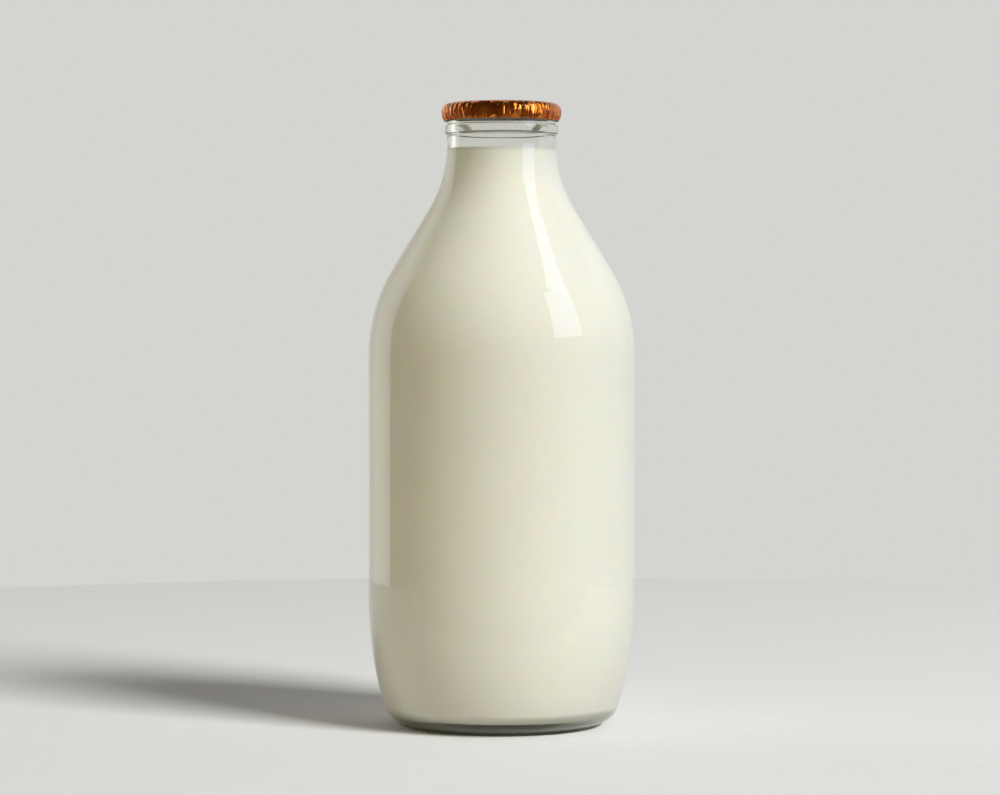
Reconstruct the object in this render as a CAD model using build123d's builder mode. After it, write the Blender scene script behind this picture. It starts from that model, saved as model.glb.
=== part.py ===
from build123d import *
from math import acos, asin, atan2, degrees, sqrt
import os

# A one-pint returnable milk bottle: a moulded glass bottle, the milk in it and a crimped foil cap.
# Millimetres, +Z up. The origin is the middle of the ring that the bottle stands on, and the
# bottle's axis is Z. Every piece is turned about that axis from a section in the XZ plane.

# ---- Bottle, outside ----
glass_height = 181.5  # floor to the crown of the lip
body_radius = 39.0
neck_radius = 15.95
neck_straight = 2.2  # plain neck between the blend and the bead
shoulder_radius = 48.4  # convex turn from the body wall into the cone
cone_angle = 31.5  # degrees between the cone and the axis
neck_blend_radius = 38.0  # concave turn from the cone into the neck

# ---- Bottle, heel and foot ----
heel_taper_height = 36.0  # below this the wall draws in on a large arc
heel_taper_radius = 100.0
heel_radius = 6.0  # tight turn under the wall
heel_underside = 0.9  # lowest level that the heel's turn would reach
foot_inset = 9.2  # body wall to the outside of the bearing ring
foot_width = 4.6
foot_edge_radius = 0.7
push_up = 3.4  # rise of the hollow inside the bearing ring

# ---- Bottle, inside ----
wall = 2.2
floor_height = 4.4  # lowest level of the inside
floor_dome = 2.6  # rise of the inside over the push-up
inner_heel_radius = 3.2

# ---- Finish: the bead, the groove and the lip that the cap grips ----
bead_height = 2.8
bead_drop = 9.0  # from the crown of the lip to the bead's lower edge
bead_stand = 0.65  # bead beyond the neck
groove_depth = 0.1
lip_drop = 4.7  # from the crown of the lip to its lower edge
lip_stand = 0.55  # lip beyond the neck

# ---- Milk ----
headspace = 13.1  # crown of the lip to the milk's surface
milk_clearance = 0.1  # to the inside of the glass

# ---- Foil cap ----
foil = 0.1
cap_seat_clearance = 0.05  # foil above the crown of the lip
cap_belly = 1.05  # widest part of the skirt beyond the lip, outside
skirt_clearance = 0.2  # inside of the skirt's edge beyond the lip, so that the cap lifts straight
cap_corner_radius = 2.4
cap_height = 5.2
cap_dish_margin = 1.2  # rim of the shallow dish, inside the bore
cap_dish_depth = 0.35
cap_dish_slope = 0.5

# ---- Worked out from the values above ----
foot_radius = body_radius - foot_inset
bore_radius = neck_radius - wall
bead_bottom = glass_height - bead_drop
bead_top = bead_bottom + bead_height
bead_radius = neck_radius + bead_stand
groove_radius = neck_radius - groove_depth
bead_curve = bead_radius - groove_radius
lip_radius = neck_radius + lip_stand
lip_bottom = glass_height - lip_drop
lip_chamfer = lip_radius - groove_radius
crown_radius = (lip_radius - bore_radius) / 2
crown_level = glass_height - crown_radius
neck_level = bead_bottom - neck_straight

# The cone runs between two arcs, so its height follows from their radii and its angle.
cone = Vector(1, 0).rotate(Axis.Z, cone_angle)
cone_outer_end = body_radius - shoulder_radius * (1 - cone.X)
cone_inner_end = neck_radius + neck_blend_radius * (1 - cone.X)
cone_height = (cone_outer_end - cone_inner_end) * cone.X / cone.Y
shoulder_level = neck_level - cone_height - (shoulder_radius + neck_blend_radius) * cone.Y

cap_top = glass_height + cap_seat_clearance + foil
cap_radius = lip_radius + cap_belly
skirt_level = cap_top - cap_height
belly_level = cap_top - cap_corner_radius
skirt_edge_radius = lip_radius + skirt_clearance + foil
skirt_drop = belly_level - skirt_level
skirt_tuck = cap_radius - skirt_edge_radius
skirt_radius = (skirt_drop**2 + skirt_tuck**2) / (2 * skirt_tuck)


def bottle_side(depth, underside, turn_radius, first_radius=None):
    """Draws the bottle's side from its heel up to the neck, depth inside the outer surface.

    The heel's turn touches the level called underside and the large taper arc above it. It starts
    at its lowest point, or where it reaches first_radius. Returns the first and the last edge.
    """
    taper_middle = body_radius - heel_taper_radius
    taper_arc = heel_taper_radius - depth
    turn_level = underside + turn_radius
    rise = heel_taper_height - turn_level
    reach = sqrt((taper_arc - turn_radius) ** 2 - rise**2)
    turn_middle = taper_middle + reach
    join_angle = -degrees(atan2(rise, reach))
    start_angle = -90
    if first_radius is not None:
        start_angle = -degrees(acos((first_radius - turn_middle) / turn_radius))
    shoulder_middle = body_radius - shoulder_radius
    blend_middle = neck_radius + neck_blend_radius

    turn = CenterArc((turn_middle, turn_level), turn_radius, start_angle, join_angle - start_angle)
    taper = CenterArc((taper_middle, heel_taper_height), taper_arc, join_angle, -join_angle)
    Line(taper @ 1, (body_radius - depth, shoulder_level))
    shoulder = CenterArc((shoulder_middle, shoulder_level), shoulder_radius - depth, 0, cone_angle)
    blend = CenterArc(
        (blend_middle, neck_level), neck_blend_radius + depth, 180 + cone_angle, -cone_angle
    )
    Line(shoulder @ 1, blend @ 0)
    return turn, blend


def inside(depth):
    """Draws the section of the inside up to the neck, depth inside the outer surface, and closes it
    along the axis. The floor is domed over the push-up."""
    clearance = depth - wall
    floor = floor_height + clearance
    turn, blend = bottle_side(depth, floor, inner_heel_radius - clearance)
    TangentArc((0, floor + floor_dome), turn @ 0, tangent=(1, 0))
    return blend @ 1


# ---- Glass bottle: one moulded piece, hollow, with its finish and its push-up base ----
with BuildPart() as glass_bottle:
    with BuildSketch(Plane.XZ):
        with BuildLine():
            hollow = TangentArc((0, push_up), (foot_radius - foot_width, 0), tangent=(1, 0))
            Line(hollow @ 1, (foot_radius - foot_edge_radius, 0))
            edge = CenterArc(
                (foot_radius - foot_edge_radius, foot_edge_radius), foot_edge_radius, -90, 90
            )
            heel, blend = bottle_side(0, heel_underside, heel_radius, foot_radius)
            Line(edge @ 1, heel @ 0)
            Line(blend @ 1, (neck_radius, bead_bottom))
            lower = CenterArc((neck_radius, bead_bottom + bead_stand), bead_stand, -90, 90)
            upper = CenterArc((groove_radius, bead_top - bead_curve), bead_curve, 0, 90)
            Line(lower @ 1, upper @ 0)
            groove = Line(upper @ 1, (groove_radius, lip_bottom))
            underside = Line(groove @ 1, (lip_radius, lip_bottom + lip_chamfer))
            Line(underside @ 1, (lip_radius, crown_level))
            crown = CenterArc((lip_radius - crown_radius, crown_level), crown_radius, 0, 180)
            centre = Line(crown @ 1, (0, crown_level))
            Line(centre @ 1, hollow @ 0)
        make_face()
        with BuildLine(mode=Mode.PRIVATE) as cavity:
            neck_end = inside(wall)
            bore = Line(neck_end, (bore_radius, crown_level))
            cover = Line(bore @ 1, (0, crown_level))
            Line(cover @ 1, (0, floor_height + floor_dome))
        make_face(cavity.edges(), mode=Mode.SUBTRACT)
    revolve(axis=Axis.Z)

# ---- Milk: fills the inside up to its level in the neck ----
with BuildPart() as milk:
    with BuildSketch(Plane.XZ):
        with BuildLine():
            neck_end = inside(wall + milk_clearance)
            level = Line(neck_end, (0, neck_level))
            Line(level @ 1, (0, floor_height + milk_clearance + floor_dome))
        make_face()
    revolve(axis=Axis.Z)
    split(bisect_by=Plane.XY.offset(glass_height - headspace), keep=Keep.BOTTOM)


def foil_face(depth):
    """Draws one face of the foil, depth under its outer face, from the axis to the skirt's edge."""
    dish_radius = bore_radius - cap_dish_margin
    dish_level = cap_top - cap_dish_depth - depth
    dish = Line((0, dish_level), (dish_radius - cap_dish_slope, dish_level))
    slope = Line(dish @ 1, (dish_radius, cap_top - depth))
    rim = Line(slope @ 1, (cap_radius - cap_corner_radius, cap_top - depth))
    corner = CenterArc(
        (cap_radius - cap_corner_radius, belly_level), cap_corner_radius - depth, 90, -90
    )
    tuck_angle = degrees(asin(skirt_drop / skirt_radius))
    skirt = CenterArc(
        (cap_radius - skirt_radius, belly_level), skirt_radius - depth, 0, -tuck_angle
    )
    return dish, skirt


# ---- Foil cap: one pressed disc of foil, its skirt crimped in round the lip ----
with BuildPart() as foil_cap:
    with BuildSketch(Plane.XZ):
        with BuildLine():
            outer_dish, outer_skirt = foil_face(0)
            inner_dish, inner_skirt = foil_face(foil)
            Line(outer_skirt @ 1, inner_skirt @ 1)
            Line(inner_dish @ 0, outer_dish @ 0)
        make_face()
    revolve(axis=Axis.Z)

# ---- Files ----
os.makedirs("parts", exist_ok=True)

glass_bottle.part.label = "glass_bottle"
export_step(glass_bottle.part, "parts/glass_bottle.step")

milk.part.label = "milk"
export_step(milk.part, "parts/milk.step")

foil_cap.part.label = "foil_cap"
export_step(foil_cap.part, "parts/foil_cap.step")
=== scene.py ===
import bpy
import numpy as np
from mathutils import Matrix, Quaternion, Vector


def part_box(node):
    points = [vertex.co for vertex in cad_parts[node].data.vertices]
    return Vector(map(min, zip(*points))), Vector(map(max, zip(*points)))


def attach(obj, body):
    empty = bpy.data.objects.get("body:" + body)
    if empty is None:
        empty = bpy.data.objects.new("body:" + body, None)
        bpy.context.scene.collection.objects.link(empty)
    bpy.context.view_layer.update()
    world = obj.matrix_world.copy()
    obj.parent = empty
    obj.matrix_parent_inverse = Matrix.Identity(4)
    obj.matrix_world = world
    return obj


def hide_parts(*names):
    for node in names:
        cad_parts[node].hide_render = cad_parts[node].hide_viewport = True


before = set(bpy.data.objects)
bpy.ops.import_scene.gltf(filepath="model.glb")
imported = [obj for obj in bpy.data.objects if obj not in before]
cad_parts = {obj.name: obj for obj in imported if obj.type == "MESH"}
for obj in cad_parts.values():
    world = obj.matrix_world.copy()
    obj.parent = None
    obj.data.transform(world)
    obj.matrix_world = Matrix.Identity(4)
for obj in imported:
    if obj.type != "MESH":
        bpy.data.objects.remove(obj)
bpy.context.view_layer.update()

scene = bpy.context.scene
scene.view_settings.view_transform = "Standard"
MM = 0.001

# ---- Camera ----
# A long lens a little above the middle of the bottle, looking very slightly down.
eye = Vector((-0.00044, -0.89, 0.119))
look_down = np.radians(1.5)
lens = bpy.data.cameras.new("camera")
lens.sensor_width = 36.0
lens.lens = 109.4
lens.clip_start = 0.01
camera = bpy.data.objects.new("camera", lens)
camera.location = eye
camera.rotation_euler = (np.pi / 2 - look_down, 0, 0)
scene.collection.objects.link(camera)
scene.camera = camera

# ---- Glass bottle ----
# One piece of clear soda-lime glass, blown and pressed in a two-part mould that leaves a fine seam
# up each side. It stands on a knurled ring round a push-up base; the lip takes the foil cap.
glass_low, glass_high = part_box("glass_bottle")
glass_height = glass_high[2]
body_radius = glass_high[0]
wall = 2.2 * MM
neck_radius = 15.95 * MM
neck_level = glass_height - 11.2 * MM
shoulder_radius = 48.4 * MM
cone_angle = 31.5
neck_blend = 38.0 * MM
taper_level = 36.0 * MM
taper_radius = 100.0 * MM
columns = 324


def arc(middle, radius, start, end, count):
    """Points on a circle in the (r, z) plane, from angle start to end in degrees, 0 pointing away
    from the axis."""
    turn = np.radians(np.linspace(start, end, count))
    return np.stack([middle[0] + radius * np.cos(turn), middle[1] + radius * np.sin(turn)], 1)


def run(first, last, count):
    """Points spaced evenly on a straight line from first to last, both ends left out."""
    share = np.linspace(0, 1, count + 2)[1:-1, None]
    return np.array(first) * (1 - share) + np.array(last) * share


def bottle_side(depth, underside, turn_radius, first_radius=None):
    """The bottle's side from its heel to the neck, depth inside the outer face: a tight heel arc, the
    long taper arc tangent to it, the straight wall, the convex shoulder arc, the cone and the
    concave arc into the neck."""
    middle = body_radius - taper_radius
    long_arc = taper_radius - depth
    turn_level = underside + turn_radius
    rise = taper_level - turn_level
    reach = np.sqrt((long_arc - turn_radius) ** 2 - rise**2)
    join = -np.degrees(np.arctan2(rise, reach))
    start = -90.0
    if first_radius is not None:
        start = -np.degrees(np.arccos((first_radius - middle - reach) / turn_radius))
    heel = arc((middle + reach, turn_level), turn_radius, start, join, 22)
    taper = arc((middle, taper_level), long_arc, join, 0, 14)[1:]
    slope = np.radians(cone_angle)
    outer_end = body_radius - shoulder_radius * (1 - np.cos(slope))
    inner_end = neck_radius + neck_blend * (1 - np.cos(slope))
    cone = (outer_end - inner_end) / np.tan(slope)
    shoulder_level = neck_level - cone - (shoulder_radius + neck_blend) * np.sin(slope)
    shoulder = arc(
        (body_radius - shoulder_radius, shoulder_level), shoulder_radius - depth, 0, cone_angle, 22
    )
    blend = arc(
        (neck_radius + neck_blend, neck_level), neck_blend + depth, 180 + cone_angle, 180, 22
    )
    straight = run(taper[-1], shoulder[0], 16)
    return np.concatenate([heel, taper, straight, shoulder, run(shoulder[-1], blend[0], 8), blend])


def turned(profile, count, shift=None):
    """A closed surface of revolution: every profile point (r, z) is carried round the axis in count
    steps. The first and last points lie on the axis and become single points. shift(angle, r, z)
    gives how far each point moves along r and z."""
    angle = np.linspace(0, 2 * np.pi, count, endpoint=False)
    r, z = profile[1:-1, 0][:, None], profile[1:-1, 1][:, None]
    out, up = (0.0, 0.0) if shift is None else shift(angle[None, :], r, z)
    r, z = r + out + 0 * angle, z + up + 0 * angle
    grid = np.stack([r * np.cos(angle), r * np.sin(angle), z], 2).reshape(-1, 3)
    ends = np.array([[0, 0, profile[0, 1]], [0, 0, profile[-1, 1]]])
    rings = len(profile) - 2
    here = np.arange(rings * count).reshape(rings, count)
    beside = np.roll(here, -1, 1)
    quads = np.stack([here[:-1], beside[:-1], beside[1:], here[1:]], 2).reshape(-1, 4)
    first, last = rings * count, rings * count + 1
    floor_fan = np.stack([beside[0], here[0], np.full(count, first)], 1)
    top_fan = np.stack([here[-1], beside[-1], np.full(count, last)], 1)
    return np.concatenate([grid, ends]), [*quads.tolist(), *floor_fan.tolist(), *top_fan.tolist()]


def made(name, points, faces, *materials):
    """A smooth-shaded object at the origin from points and faces."""
    mesh = bpy.data.meshes.new(name)
    mesh.from_pydata(points.tolist(), [], faces)
    mesh.shade_smooth()
    for material in materials:
        mesh.materials.append(material)
    thing = bpy.data.objects.new(name, mesh)
    scene.collection.objects.link(thing)
    return thing


foot_radius = 29.8 * MM
foot_inner = 25.2 * MM
foot_edge = 0.7 * MM
push_up = 3.4 * MM
inner_floor = 4.4 * MM
floor_dome = 2.6 * MM
heel_radius = 6.0 * MM
inner_heel = 3.2 * MM
heel_underside = 0.9 * MM
bead_low = glass_height - 9.0 * MM
bead_high = glass_height - 6.2 * MM
bead_radius = neck_radius + 0.65 * MM
groove_radius = neck_radius - 0.1 * MM
lip_low = glass_height - 4.7 * MM
lip_radius = neck_radius + 0.55 * MM
bore_radius = neck_radius - wall
crown = (lip_radius - bore_radius) / 2
crown_level = glass_height - crown
neck_fillet = 0.2 * MM
bead_under = 0.45 * MM  # the bead's lower edge is a little tighter than its upper one
bead_over = 0.55 * MM
groove_fillet = 0.25 * MM
lip_fillet = 0.3 * MM
lip_under = 0.8 * MM


def dome(rise, edge, level, count):
    """A shallow spherical cap's section, level on the axis, from the axis out to the edge radius,
    rise above level at its middle."""
    r = np.linspace(0, edge, count)
    ball = (edge**2 + rise**2) / (2 * rise)
    return np.stack([r, level + rise - ball + np.sqrt(ball**2 - r**2)], 1)


outside = bottle_side(0, heel_underside, heel_radius, foot_radius)
inside = bottle_side(wall, inner_floor, inner_heel)[::-1]
glass_profile = np.concatenate([
    dome(push_up, foot_inner, 0, 12),
    run((foot_inner, 0), (foot_radius - foot_edge, 0), 5),
    arc((foot_radius - foot_edge, foot_edge), foot_edge, -90, 0, 6),
    outside,
    run((neck_radius, neck_level), (neck_radius, bead_low - 1.5 * neck_fillet), 2),
    arc((neck_radius + neck_fillet, bead_low - neck_fillet), neck_fillet, 180, 90, 4),
    arc((bead_radius - bead_under, bead_low + bead_under), bead_under, -90, 0, 7),
    arc((bead_radius - bead_over, bead_high - bead_over), bead_over, 0, 80, 7),
    arc((groove_radius + groove_fillet, bead_high + groove_fillet), groove_fillet, 250, 180, 5),
    run((groove_radius, bead_high + 1.2 * groove_fillet), (groove_radius, lip_low - 0.1 * MM), 2),
    arc((groove_radius + lip_fillet, lip_low - 0.1 * MM), lip_fillet, 180, 120, 4),
    arc((lip_radius - lip_under, lip_low + 1.0 * MM), lip_under, -50, 0, 5),
    arc((lip_radius - crown, crown_level), crown, 0, 180, 24),
    run((bore_radius, crown_level), (bore_radius, neck_level), 4),
    inside,
    dome(floor_dome, inside[-1, 0], inner_floor, 12)[::-1][1:],
])

seam_angle = np.radians(196)
seam_height = 0.06 * MM
seam_width = 0.45 * MM
knurls = 81
knurl_depth = 0.12 * MM


def mould_marks(angle, r, z):
    """Two seams, each a bell-shaped ridge across its own small width, and the knurled ring, where the
    bearing face is raised a little in a cosine wave round the axis."""
    across = r * np.abs(np.sin(angle - seam_angle))
    outer = (z > foot_edge) & (r > body_radius - wall * 0.6) | (r > neck_radius) & (z > taper_level)
    ridge = seam_height * np.exp(-((across / seam_width) ** 2)) * outer
    ring = np.clip(1 - np.abs(r - (foot_inner + foot_radius) / 2) / (2.0 * MM), 0, 1)
    low = (z < 0.3 * MM) & (r > foot_inner)
    wave = (1 - np.cos(knurls * angle)) / 2
    return ridge, knurl_depth * wave * np.minimum(1, 2 * ring) * low


def new_material(name):
    """A material with its node tree emptied of all but the output, and a function that adds nodes."""
    material = bpy.data.materials.new(name)
    material.use_nodes = True
    tree = material.node_tree
    tree.nodes.clear()
    return material, tree, tree.nodes.new("ShaderNodeOutputMaterial")


def node(tree, kind, links=(), **values):
    """A node of this kind: values set its own properties, links is pairs of input and what feeds it,
    a socket or a plain value."""
    made_node = tree.nodes.new("ShaderNode" + kind)
    for key, value in values.items():
        setattr(made_node, key, value)
    for key, value in dict(links).items():
        if isinstance(value, bpy.types.NodeSocket):
            tree.links.new(value, made_node.inputs[key])
        else:
            made_node.inputs[key].default_value = value
    return made_node


def glass_material():
    """Clear glass with the slow waver of a moulded wall in its normal. Lamps shine through it, so
    that the milk behind it is lit."""
    material, tree, out = new_material("clear_glass")
    place = node(tree, "TexCoord").outputs["Object"]
    slow = node(tree, "TexNoise", {"Vector": place, "Scale": 45.0, "Detail": 1.0})
    waver = node(
        tree, "Bump", {"Height": slow.outputs["Fac"], "Strength": 0.12, "Distance": 0.4 * MM}
    )
    glass = node(
        tree,
        "BsdfPrincipled",
        {
            "Base Color": (0.99, 0.99, 0.985, 1),
            "Roughness": 0.0,
            "IOR": 1.5,
            "Transmission Weight": 1.0,
            "Normal": waver.outputs["Normal"],
        },
    )
    through = node(tree, "BsdfTransparent", {"Color": (0.96, 0.97, 0.96, 1)})
    path = node(tree, "LightPath")
    mixed = node(
        tree,
        "MixShader",
        {0: path.outputs["Is Shadow Ray"], 1: glass.outputs[0], 2: through.outputs[0]},
    )
    tree.links.new(mixed.outputs[0], out.inputs["Surface"])
    tint = node(tree, "VolumeAbsorption", {"Color": (0.45, 0.45, 0.20, 1), "Density": 50.0})
    tree.links.new(tint.outputs[0], out.inputs["Volume"])
    return material


bottle = made("bottle_glass", *turned(glass_profile, columns, mould_marks), glass_material())
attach(bottle, "bottle")
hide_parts("glass_bottle")

# ---- Milk ----
# Whole milk, filled to just under the bead. It wets the glass all over, so its face lies a hair
# inside the wall, and it climbs the neck in a small meniscus.
milk_low, milk_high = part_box("milk")
wetting = 0.06 * MM
meniscus = 1.5 * MM
rim_level = milk_high[2]
rest_level = rim_level - meniscus


def milk_profile():
    """The wall's inside, wetting deeper, up to the rim, then the meniscus: the surface falls from the
    rim towards the middle on a decaying curve."""
    side = bottle_side(wall - wetting, inner_floor - wetting, inner_heel + wetting)
    below = side[side[:, 1] < rim_level]
    rim_radius = np.interp(rim_level, side[:, 1], side[:, 0])
    inward = np.linspace(0, 1, 26)[1:] ** 2 * rim_radius
    fall = rest_level + meniscus * np.exp(-inward / (1.3 * MM))
    top = np.stack([rim_radius - inward, fall], 1)
    base = dome(floor_dome, side[0, 0], inner_floor - wetting, 12)[:-1]
    return np.concatenate([base, below, [[rim_radius, rim_level]], top])


def milk_material():
    """Creamy white with a soft glow under its surface, greyer where it thins out in the meniscus."""
    material, tree, out = new_material("milk")
    place = node(tree, "TexCoord").outputs["Object"]
    height = node(tree, "SeparateXYZ", {0: place}).outputs["Z"]
    thin = node(
        tree,
        "MapRange",
        {"Value": height, "From Min": rim_level - 1.6 * MM, "From Max": rim_level},
        interpolation_type="SMOOTHSTEP",
    )
    cloud = node(tree, "TexNoise", {"Vector": place, "Scale": 30.0, "Detail": 3.0})
    body = node(
        tree,
        "Mix",
        {0: cloud.outputs["Fac"], 6: (0.90, 0.885, 0.85, 1), 7: (0.92, 0.91, 0.88, 1)},
        data_type="RGBA",
    )
    colour = node(
        tree,
        "Mix",
        {0: thin.outputs["Result"], 6: body.outputs[2], 7: (0.76, 0.76, 0.76, 1)},
        data_type="RGBA",
    )
    liquid = node(
        tree,
        "BsdfPrincipled",
        {
            "Base Color": colour.outputs[2],
            "Roughness": 0.35,
            "IOR": 1.35,
            "Specular IOR Level": 0.1,
            "Subsurface Weight": 1.0,
            "Subsurface Radius": (1.0, 0.75, 0.45),
            "Subsurface Scale": 0.6 * MM,
        },
    )
    tree.links.new(liquid.outputs[0], out.inputs["Surface"])
    return material


milk = made("milk_fill", *turned(milk_profile(), 192), milk_material())
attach(milk, "bottle")
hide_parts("milk")

# ---- Foil cap ----
# One disc of thin aluminium foil, lacquered copper outside and bare inside, pressed down over the
# lip. Its skirt is gathered into many small pleats and crimped in under the lip.
cap_low, cap_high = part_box("foil_cap")
cap_top = cap_high[2]
cap_bottom = cap_low[2]
cap_radius = cap_high[0]
foil = 0.1 * MM
cap_corner = 2.4 * MM
skirt_edge = lip_radius + 0.3 * MM
dish_radius = bore_radius - 1.2 * MM
dish_depth = 0.35 * MM
pleats = 132
pleat_depth = 0.30 * MM
cap_columns = 2112


def foil_face(depth, fine):
    """One face of the foil, depth under its outer face, from the axis to the skirt's edge: the dished
    top, the rounded corner, and the arc that tucks in under the lip. fine is the points' density."""
    level = cap_top - depth
    drop = cap_top - cap_corner - cap_bottom
    tuck = cap_radius - skirt_edge
    skirt_radius = (drop**2 + tuck**2) / (2 * tuck)
    tucked = np.degrees(np.arcsin(drop / skirt_radius))
    corner_middle = (cap_radius - cap_corner, cap_top - cap_corner)
    return np.concatenate([
        [[0, level - dish_depth]],
        run((0, level - dish_depth), (dish_radius - 0.8 * MM, level - dish_depth), int(4 * fine)),
        run((dish_radius - 0.8 * MM, level - dish_depth), (dish_radius, level), int(3 * fine)),
        run((dish_radius, level), (corner_middle[0], level), int(3 * fine)),
        arc(corner_middle, cap_corner - depth, 90, 0, int(9 * fine)),
        arc(
            (cap_radius - skirt_radius, corner_middle[1]), skirt_radius - depth, 0, -tucked,
            int(11 * fine),
        )[1:],
    ])


def pleating(angle, r, z):
    """Pleats: a row of rounded crests with sharp valleys between them, 1 - |sin| of a wandering angle,
    and a second finer row in the tuck. Both grow down the skirt, and slow waves of the angle make
    their width, depth and start uneven."""
    down = np.clip((cap_top - 0.35 * MM - z) / (cap_top - cap_bottom - 0.35 * MM), 0, 1)
    down = down * (r > cap_radius - cap_corner)
    wander = 0.9 * np.sin(3 * angle + 1.0) + 0.7 * np.sin(7 * angle + 2.2) + 0.5 * np.sin(13 * angle)
    wander = wander + 0.35 * np.sin(29 * angle + 0.7) + 0.25 * np.sin(41 * angle + 1.9)
    coarse = 1 - np.abs(np.sin(0.5 * (pleats * angle) + wander))
    fine = 1 - np.abs(np.sin(0.5 * (2 * pleats * angle) + 1.7 * wander))
    uneven = 0.6 + 0.25 * np.sin(5 * angle + 0.4) + 0.15 * np.sin(17 * angle + 1.3)
    out = -pleat_depth * uneven * coarse * down**1.4
    out = out - 0.14 * MM * fine * down**3
    return out, 0.10 * MM * (coarse - 0.5) * down**4


def foil_material(name, colour, dark, roughness, lacquer, crumple):
    """Crinkled foil: tall cell-shaped creases down the skirt, each with its own tint between dark and
    colour, which weaken over the corner to a gently dented top, and a soft waver all over that also
    varies the roughness. crumple is the height of the creases."""
    material, tree, out = new_material(name)
    place = node(tree, "TexCoord").outputs["Object"]
    blotch = node(tree, "TexNoise", {"Vector": place, "Scale": 220.0, "Detail": 4.0})
    flat = node(tree, "VectorMath", {0: place, 1: (1, 1, 0)}, operation="MULTIPLY")
    from_axis = node(tree, "VectorMath", {0: flat.outputs[0]}, operation="LENGTH")
    skirt = node(
        tree,
        "MapRange",
        {
            "Value": from_axis.outputs["Value"],
            "From Min": cap_radius - cap_corner,
            "From Max": cap_radius - 0.4 * cap_corner,
            "To Min": 0.3,
        },
        interpolation_type="SMOOTHSTEP",
    ).outputs["Result"]
    tall = node(tree, "VectorMath", {0: place, 1: (1000, 1000, 300)}, operation="MULTIPLY")
    facet = node(tree, "TexVoronoi", {"Vector": tall.outputs[0], "Scale": 0.7})
    relief = node(tree, "Math", {0: facet.outputs["Distance"], 1: skirt}, operation="MULTIPLY")
    creased = node(
        tree, "Bump", {"Height": relief.outputs[0], "Strength": 1.0, "Distance": crumple}
    )
    rolled = node(
        tree,
        "Bump",
        {
            "Height": blotch.outputs["Fac"],
            "Strength": 0.4,
            "Distance": 0.10 * MM,
            "Normal": creased.outputs["Normal"],
        },
    )
    shade = node(tree, "SeparateColor", {0: facet.outputs["Color"]}).outputs["Red"]
    patchy = node(tree, "Mix", {0: skirt, 2: 0.8, 3: shade})
    tint = node(tree, "Mix", {0: patchy.outputs[0], 6: dark, 7: colour}, data_type="RGBA")
    rough = node(
        tree,
        "MapRange",
        {"Value": blotch.outputs["Fac"], "To Min": roughness * 0.8, "To Max": roughness * 1.3},
    )
    metal = node(
        tree,
        "BsdfPrincipled",
        {
            "Base Color": tint.outputs[2],
            "Metallic": 1.0,
            "Roughness": rough.outputs["Result"],
            "Coat Weight": lacquer,
            "Coat Roughness": 0.08,
            "Normal": rolled.outputs["Normal"],
        },
    )
    tree.links.new(metal.outputs[0], out.inputs["Surface"])
    return material


outer_face = foil_face(0, 1)
inner_face = foil_face(foil, 0.6)
cap_points, cap_faces = turned(
    np.concatenate([inner_face, outer_face[::-1]]), cap_columns, pleating
)
copper = (0.92, 0.29, 0.05, 1)
deep_copper = (0.42, 0.07, 0.001, 1)
aluminium = (0.94, 0.94, 0.93, 1)
dull_aluminium = (0.86, 0.86, 0.85, 1)
cap = made(
    "foil_cap_pleated",
    cap_points,
    cap_faces,
    foil_material("copper_foil", copper, deep_copper, 0.16, 0.15, 0.50 * MM),
    foil_material("bare_foil", aluminium, dull_aluminium, 0.5, 0.0, 0.06 * MM),
)
# The faces of the inner side, and the fan that closes it on the axis, take the bare metal.
bare = np.zeros(len(cap_faces), dtype=np.int32)
bare[: (len(inner_face) - 1) * cap_columns] = 1
fans = (len(inner_face) + len(outer_face) - 3) * cap_columns
bare[fans : fans + cap_columns] = 1
cap.data.polygons.foreach_set("material_index", bare)
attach(cap, "cap")
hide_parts("foil_cap")

# ---- Floor, backdrop and lamps ----
# A round pale table top in a pale room. A soft key lamp stands high to the right and in front, and a
# weak broad fill low to the left. The glass and the foil mirror panels of their own.
table_radius = 0.5
table_level = -0.2 * MM


def floor_material():
    """Pale matt plaster with a faint grain. To all but the camera its front darkens, as a table that
    ends before a dark room does, so that the bottle isn't lit too much from below."""
    material, tree, out = new_material("pale_floor")
    place = node(tree, "TexCoord").outputs["Object"]
    grain = node(tree, "TexNoise", {"Vector": place, "Scale": 120.0, "Detail": 4.0})
    tint = node(
        tree,
        "Mix",
        {0: grain.outputs["Fac"], 6: (0.93, 0.925, 0.915, 1), 7: (0.98, 0.975, 0.965, 1)},
        data_type="RGBA",
    )
    rough = node(
        tree, "Bump", {"Height": grain.outputs["Fac"], "Strength": 0.2, "Distance": 0.5 * MM}
    )
    towards = node(tree, "SeparateXYZ", {0: place}).outputs["Y"]
    far = node(
        tree,
        "MapRange",
        {"Value": towards, "From Min": -0.09, "From Max": -0.17},
        interpolation_type="SMOOTHSTEP",
    )
    bounced = node(
        tree,
        "Mix",
        {0: far.outputs["Result"], 6: tint.outputs[2], 7: (0.16, 0.155, 0.14, 1)},
        data_type="RGBA",
    )
    path = node(tree, "LightPath")
    seen = node(
        tree,
        "Mix",
        {0: path.outputs["Is Camera Ray"], 6: bounced.outputs[2], 7: tint.outputs[2]},
        data_type="RGBA",
    )
    plaster = node(
        tree,
        "BsdfPrincipled",
        {
            "Base Color": seen.outputs[2],
            "Roughness": 1.0,
            "Specular IOR Level": 0.0,
            "Normal": rough.outputs["Normal"],
        },
    )
    tree.links.new(plaster.outputs[0], out.inputs["Surface"])
    return material


around = np.linspace(0, 2 * np.pi, 128, endpoint=False)
rim = np.stack([table_radius * np.cos(around), table_radius * np.sin(around), 0 * around], 1)
rim[:, 2] = table_level
floor = made("floor", rim, [list(range(128))], floor_material())


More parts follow.
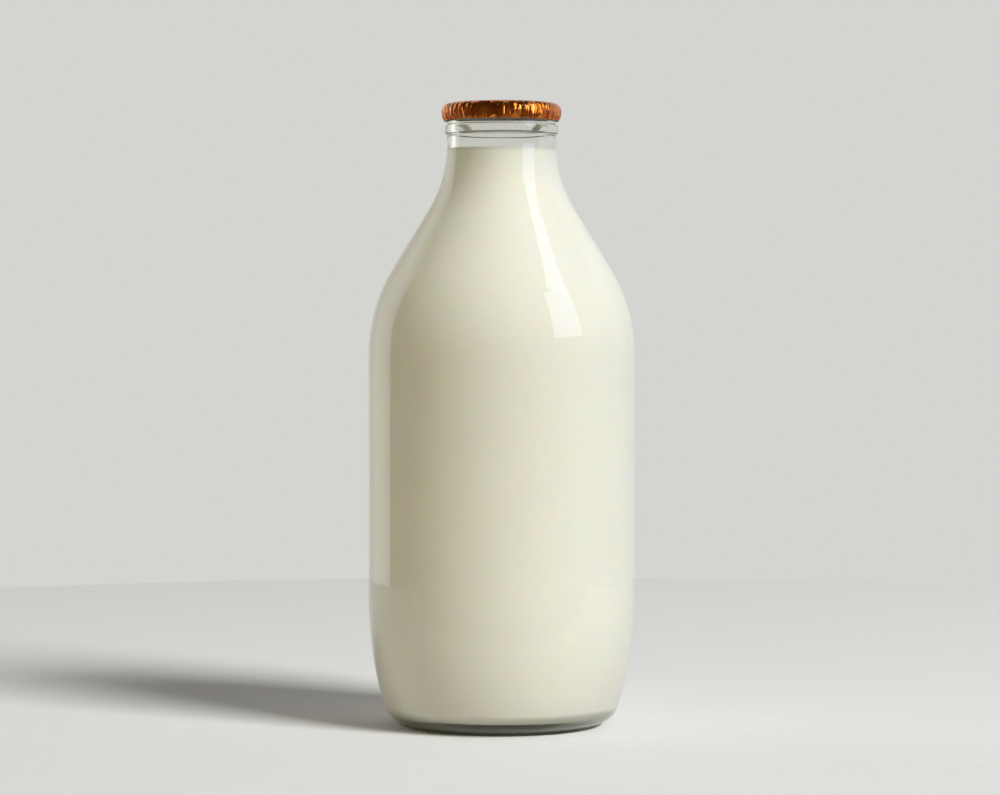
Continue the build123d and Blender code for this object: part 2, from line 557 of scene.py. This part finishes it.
def lamp(name, place, aim, width, height, radiance, colour, roll=0.0):
    """A soft rectangular panel at place that faces aim, leaning by roll in its own plane. Its power
    follows from its radiance and area: a flat lamp sends out pi times its radiance from every unit
    of area."""
    light = bpy.data.lights.new(name, "AREA")
    light.shape = "RECTANGLE"
    light.size = width
    light.size_y = height
    light.energy = radiance * np.pi * width * height
    light.color = colour
    turn = (Vector(aim) - Vector(place)).to_track_quat("-Z", "Y")
    thing = bpy.data.objects.new(name, light)
    thing.location = place
    thing.rotation_euler = (turn @ Quaternion((0, 0, 1), np.radians(roll))).to_euler()
    thing.visible_camera = False
    thing.visible_transmission = False
    scene.collection.objects.link(thing)
    return thing


def lights_only(light, *things):
    """Keeps a lamp's light to these objects."""
    lit = bpy.data.collections.new(light.name + "_lights")
    for thing in things:
        lit.objects.link(thing)
    light.light_linking.receiver_collection = lit


key = lamp("key_lamp", (2.74, -2.38, 2.90), (0, 0, 0.08), 1.5, 1.8, 23.2, (0.985, 1.0, 1.0))
key.visible_glossy = False
fill = lamp("fill_lamp", (-0.60, -1.02, 0.16), (0, 0, 0.10), 1.0, 0.5, 2.6, (1.0, 0.90, 0.62))
fill.visible_glossy = False
lights_only(fill, bottle, milk, cap)

# The window is seen only as a highlight: an upright pane and a leaning one above it.
window_colour = (0.62, 0.68, 1.0)
lower_pane = lamp(
    "window_lamp", (0.599, -0.363, 0.472), (-0.267, 0.137, 0.472), 0.345, 0.465, 3.1, window_colour
)
lower_pane.visible_diffuse = False
lights_only(lower_pane, bottle)
upper_pane = lamp(
    "window_lamp_upper", (0.659, -0.259, 0.955), (-0.207, 0.241, 0.955), 0.27, 0.56, 3.1,
    window_colour, roll=-22.0,
)
upper_pane.visible_diffuse = False
lights_only(upper_pane, bottle)

# A tall strip beside the window gives the foil its long glints and a dim ceiling panel lightens its
# top, and a broad lamp behind keeps the bottle's back from turning dull.
strip = lamp(
    "foil_strip", (0.773, -0.344, 0.488), (0, 0, 0.18), 0.55, 1.05, 4.4, (0.82, 0.93, 1.0)
)
strip.visible_diffuse = False
lights_only(strip, cap)
ceiling = lamp("ceiling_panel", (0, 0.62, 1.25), (0, 0, 0.18), 0.6, 0.45, 0.7, (1.0, 1.0, 1.0))
ceiling.visible_diffuse = False
lights_only(ceiling, cap)
back = lamp("back_lamp", (-0.55, 1.20, 0.55), (0, 0, 0.09), 1.2, 0.9, 2.6, (1.0, 0.99, 0.96))
back.visible_glossy = False
lights_only(back, bottle, milk, cap)

# The camera sees an even pale backdrop. The bottle mirrors a room: a tall window behind it to the
# left, dark in front, pale behind, under a dark ceiling.
world = bpy.data.worlds.new("studio")
scene.world = world
world.use_nodes = True
air = world.node_tree
air.nodes.clear()
heading = node(air, "SeparateXYZ", {0: node(air, "TexCoord").outputs["Generated"]})
front = node(air, "Math", {0: heading.outputs["Y"], 1: -1.0}, operation="MULTIPLY")
azimuth = node(air, "Math", {0: heading.outputs["X"], 1: front.outputs[0]}, operation="ARCTAN2")
share = node(
    air,
    "MapRange",
    {"Value": azimuth.outputs[0], "From Min": -np.pi, "From Max": np.pi},
)
room = node(air, "ValToRGB", {0: share.outputs["Result"]})
ramp = room.color_ramp
# The room's brightness round the bottle, by heading in degrees: 0 is in front, 90 is to the right.
stops = [
    (-180, (0.535, 0.535, 0.515)),
    (-148, (0.48, 0.48, 0.46)),
    (-141, (0.78, 0.78, 0.76)),
    (-128, (1.00, 1.00, 0.98)),
    (-112.5, (1.00, 1.00, 0.98)),
    (-111.5, (0.13, 0.10, 0.07)),
    (-20, (0.08, 0.06, 0.045)),
    (45, (0.10, 0.085, 0.07)),
    (80, (0.28, 0.28, 0.27)),
    (125, (0.50, 0.51, 0.51)),
    (180, (0.535, 0.535, 0.515)),
]
for place, colour in stops[1:-1]:
    ramp.elements.new((place + 180) / 360)
for element, (place, colour) in zip(ramp.elements, stops):
    element.position = (place + 180) / 360
    element.color = (*colour, 1)
leaning = node(
    air,
    "Math",
    {0: heading.outputs["Y"], 1: -0.35, 2: heading.outputs["Z"]},
    operation="MULTIPLY_ADD",
)
upper = node(
    air,
    "MapRange",
    {"Value": leaning.outputs[0], "From Min": 0.25, "From Max": 0.55},
    interpolation_type="SMOOTHSTEP",
)
roof = node(
    air,
    "Mix",
    {0: upper.outputs["Result"], 6: room.outputs[0], 7: (0.05, 0.045, 0.04, 1)},
    data_type="RGBA",
)
path = node(air, "LightPath")
pale = node(
    air,
    "Mix",
    {0: path.outputs["Is Camera Ray"], 6: roof.outputs[2], 7: (0.471, 0.471, 0.457, 1)},
    data_type="RGBA",
)
backdrop = node(air, "Background", {"Color": pale.outputs[2], "Strength": 1.4})
sky = node(air, "OutputWorld")
air.links.new(backdrop.outputs[0], sky.inputs["Surface"])
